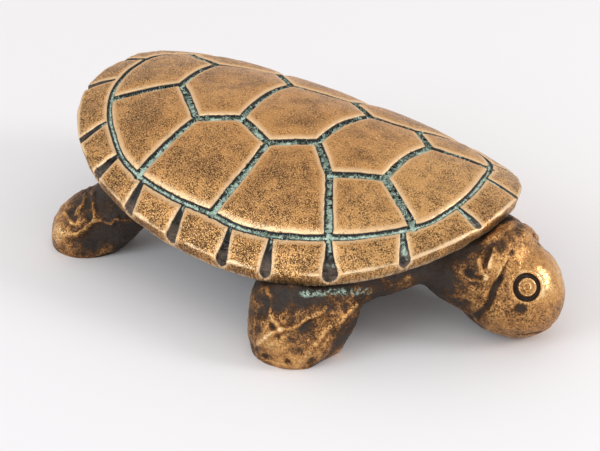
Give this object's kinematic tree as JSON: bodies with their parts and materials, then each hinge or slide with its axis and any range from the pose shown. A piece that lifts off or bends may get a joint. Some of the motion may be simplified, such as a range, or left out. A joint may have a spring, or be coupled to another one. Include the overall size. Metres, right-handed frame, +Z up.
{
  "type": "cast bronze turtle figurine",
  "caption": "Cast bronze turtle with a domed, scute-grooved shell, splayed legs with flat soles and a lowered head, used as a shelf ornament or paperweight.",
  "frame": {"origin": "on the surface it stands on, under the middle of its length and width", "axes": "+X towards the head, +Y to the turtle's left, +Z up"},
  "size_m": [0.1222, 0.0856, 0.0379],
  "materials": {
    "shell_bronze": "sand-cast bronze, satin on the worn scutes, brown patina in the pits, green verdigris in the grooves",
    "body_bronze": "sand-cast bronze, dark patina in the folds, filed and worn bright on ridges, feet and head"
  },
  "bodies": {
    "root": {"shell": "shell_bronze", "body": "body_bronze"}
  },
  "joints": []
}
